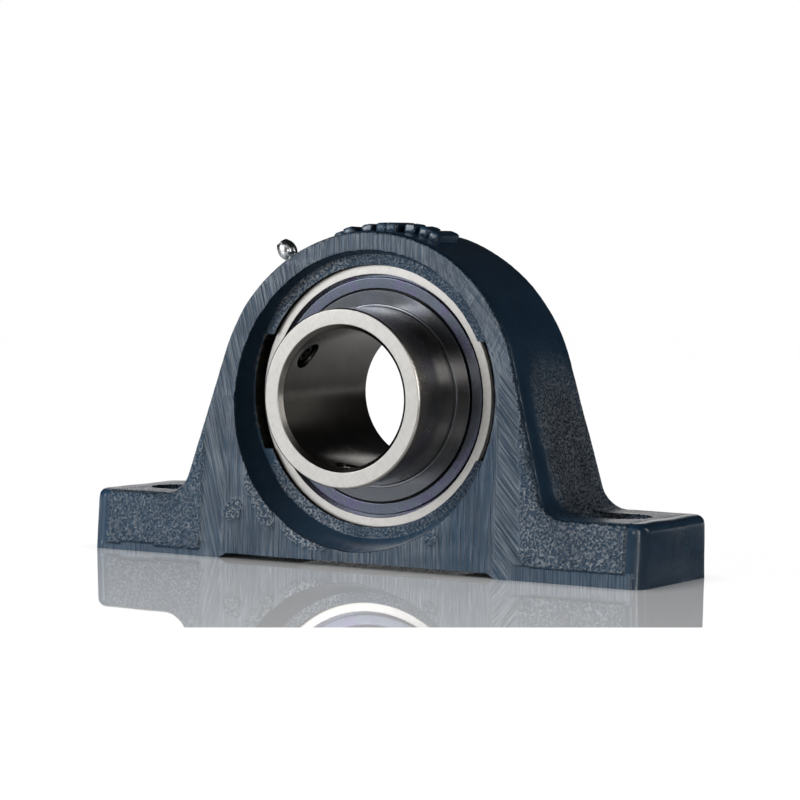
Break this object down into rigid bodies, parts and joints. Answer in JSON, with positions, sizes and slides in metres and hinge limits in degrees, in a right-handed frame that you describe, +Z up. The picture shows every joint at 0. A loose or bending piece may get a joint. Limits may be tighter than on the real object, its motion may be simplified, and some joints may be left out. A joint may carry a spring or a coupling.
{
  "type": "pillow block bearing",
  "caption": "Cast pillow block with two slotted feet, holding a self-aligning ball bearing insert with set screws, seals and a grease nipple.",
  "frame": {"origin": "on the underside of the base, midway between the two bolt slots and below the centre of the spherical seat", "axes": "+X along the base, +Y along the shaft towards the short side of the inner ring (the set screws are on the -Y side), +Z up"},
  "size_m": [0.184, 0.0537, 0.0972],
  "materials": {
    "painted_iron": "glossy navy paint over a rough casting, ground in places",
    "ring_steel": "ground bearing steel",
    "ball_steel": "polished bearing steel",
    "cage_steel": "pressed sheet",
    "seal_steel": "dark blued pressed sheet",
    "flinger_steel": "dark pressed sheet",
    "seal_rubber": "moulded rubber",
    "screw_steel": "black oxide",
    "plated_steel": "bright zinc plate",
    "spring_steel": "drawn wire"
  },
  "bodies": {
    "housing": {"housing": "painted_iron", "grease_nipple": "plated_steel", "nipple_spring": "spring_steel"},
    "outer_ring": {"outer_ring": "ring_steel", "front_seal_shell": "seal_steel", "back_seal_shell": "seal_steel", "front_seal_lip": "seal_rubber", "back_seal_lip": "seal_rubber"},
    "inner_ring": {"inner_ring": "ring_steel", "front_flinger": "flinger_steel", "back_flinger": "flinger_steel"},
    "cage": {"cage_front": "cage_steel", "cage_back": "cage_steel", "cage_rivets": "cage_steel"},
    "ball_1": {"ball_1": "ball_steel"},
    "ball_2": {"ball_2": "ball_steel"},
    "ball_3": {"ball_3": "ball_steel"},
    "ball_4": {"ball_4": "ball_steel"},
    "ball_5": {"ball_5": "ball_steel"},
    "ball_6": {"ball_6": "ball_steel"},
    "ball_7": {"ball_7": "ball_steel"},
    "ball_8": {"ball_8": "ball_steel"},
    "ball_9": {"ball_9": "ball_steel"},
    "set_screw_1": {"set_screw_1": "screw_steel"},
    "set_screw_2": {"set_screw_2": "screw_steel"},
    "nipple_ball": {"nipple_ball": "ball_steel"}
  },
  "joints": [
    {"name": "insert_tilt", "type": "hinge", "parent": "housing", "child": "outer_ring", "pos_m": [0, 0, 0.0492], "axis": [1, 0, 0], "range_deg": [-3, 3]},
    {"name": "shaft_turn", "type": "hinge", "parent": "outer_ring", "child": "inner_ring", "pos_m": [0, 0, 0.0492], "axis": [0, 1, 0], "continuous": true},
    {"name": "cage_turn", "type": "hinge", "parent": "outer_ring", "child": "cage", "pos_m": [0, 0, 0.0492], "axis": [0, 1, 0], "continuous": true},
    {"name": "ball_1_spin", "type": "hinge", "parent": "cage", "child": "ball_1", "pos_m": [0, 0, 0.0792], "axis": [0, 1, 0], "continuous": true},
    {"name": "ball_2_spin", "type": "hinge", "parent": "cage", "child": "ball_2", "pos_m": [-0.01928, 0, 0.07218], "axis": [0, 1, 0], "continuous": true},
    {"name": "ball_3_spin", "type": "hinge", "parent": "cage", "child": "ball_3", "pos_m": [-0.02954, 0, 0.05441], "axis": [0, 1, 0], "continuous": true},
    {"name": "ball_4_spin", "type": "hinge", "parent": "cage", "child": "ball_4", "pos_m": [-0.02598, 0, 0.0342], "axis": [0, 1, 0], "continuous": true},
    {"name": "ball_5_spin", "type": "hinge", "parent": "cage", "child": "ball_5", "pos_m": [-0.01026, 0, 0.02101], "axis": [0, 1, 0], "continuous": true},
    {"name": "ball_6_spin", "type": "hinge", "parent": "cage", "child": "ball_6", "pos_m": [0.01026, 0, 0.02101], "axis": [0, 1, 0], "continuous": true},
    {"name": "ball_7_spin", "type": "hinge", "parent": "cage", "child": "ball_7", "pos_m": [0.02598, 0, 0.0342], "axis": [0, 1, 0], "continuous": true},
    {"name": "ball_8_spin", "type": "hinge", "parent": "cage", "child": "ball_8", "pos_m": [0.02954, 0, 0.05441], "axis": [0, 1, 0], "continuous": true},
    {"name": "ball_9_spin", "type": "hinge", "parent": "cage", "child": "ball_9", "pos_m": [0.01928, 0, 0.07218], "axis": [0, 1, 0], "continuous": true},
    {"name": "set_screw_1_drive", "type": "slide", "parent": "inner_ring", "child": "set_screw_1", "axis": [0.8141, 0, -0.5807], "range_m": [-0.0025, 0.0007]},
    {"name": "set_screw_2_drive", "type": "slide", "parent": "inner_ring", "child": "set_screw_2", "axis": [0.0958, 0, 0.9954], "range_m": [-0.0025, 0.0007]},
    {"name": "nipple_ball_push", "type": "slide", "parent": "housing", "child": "nipple_ball", "axis": [0.6691, 0, -0.7431], "range_m": [0, 0.0008], "stiffness_N_per_m": 40, "springref_m": -0.0005, "deforming": ["nipple_spring"]}
  ],
  "couplings": [
    {"joint": "cage_turn", "follows": "shaft_turn", "ratio": 0.4},
    {"joint": "ball_1_spin", "follows": "shaft_turn", "ratio": -2.4},
    {"joint": "ball_2_spin", "follows": "shaft_turn", "ratio": -2.4},
    {"joint": "ball_3_spin", "follows": "shaft_turn", "ratio": -2.4},
    {"joint": "ball_4_spin", "follows": "shaft_turn", "ratio": -2.4},
    {"joint": "ball_5_spin", "follows": "shaft_turn", "ratio": -2.4},
    {"joint": "ball_6_spin", "follows": "shaft_turn", "ratio": -2.4},
    {"joint": "ball_7_spin", "follows": "shaft_turn", "ratio": -2.4},
    {"joint": "ball_8_spin", "follows": "shaft_turn", "ratio": -2.4},
    {"joint": "ball_9_spin", "follows": "shaft_turn", "ratio": -2.4}
  ]
}
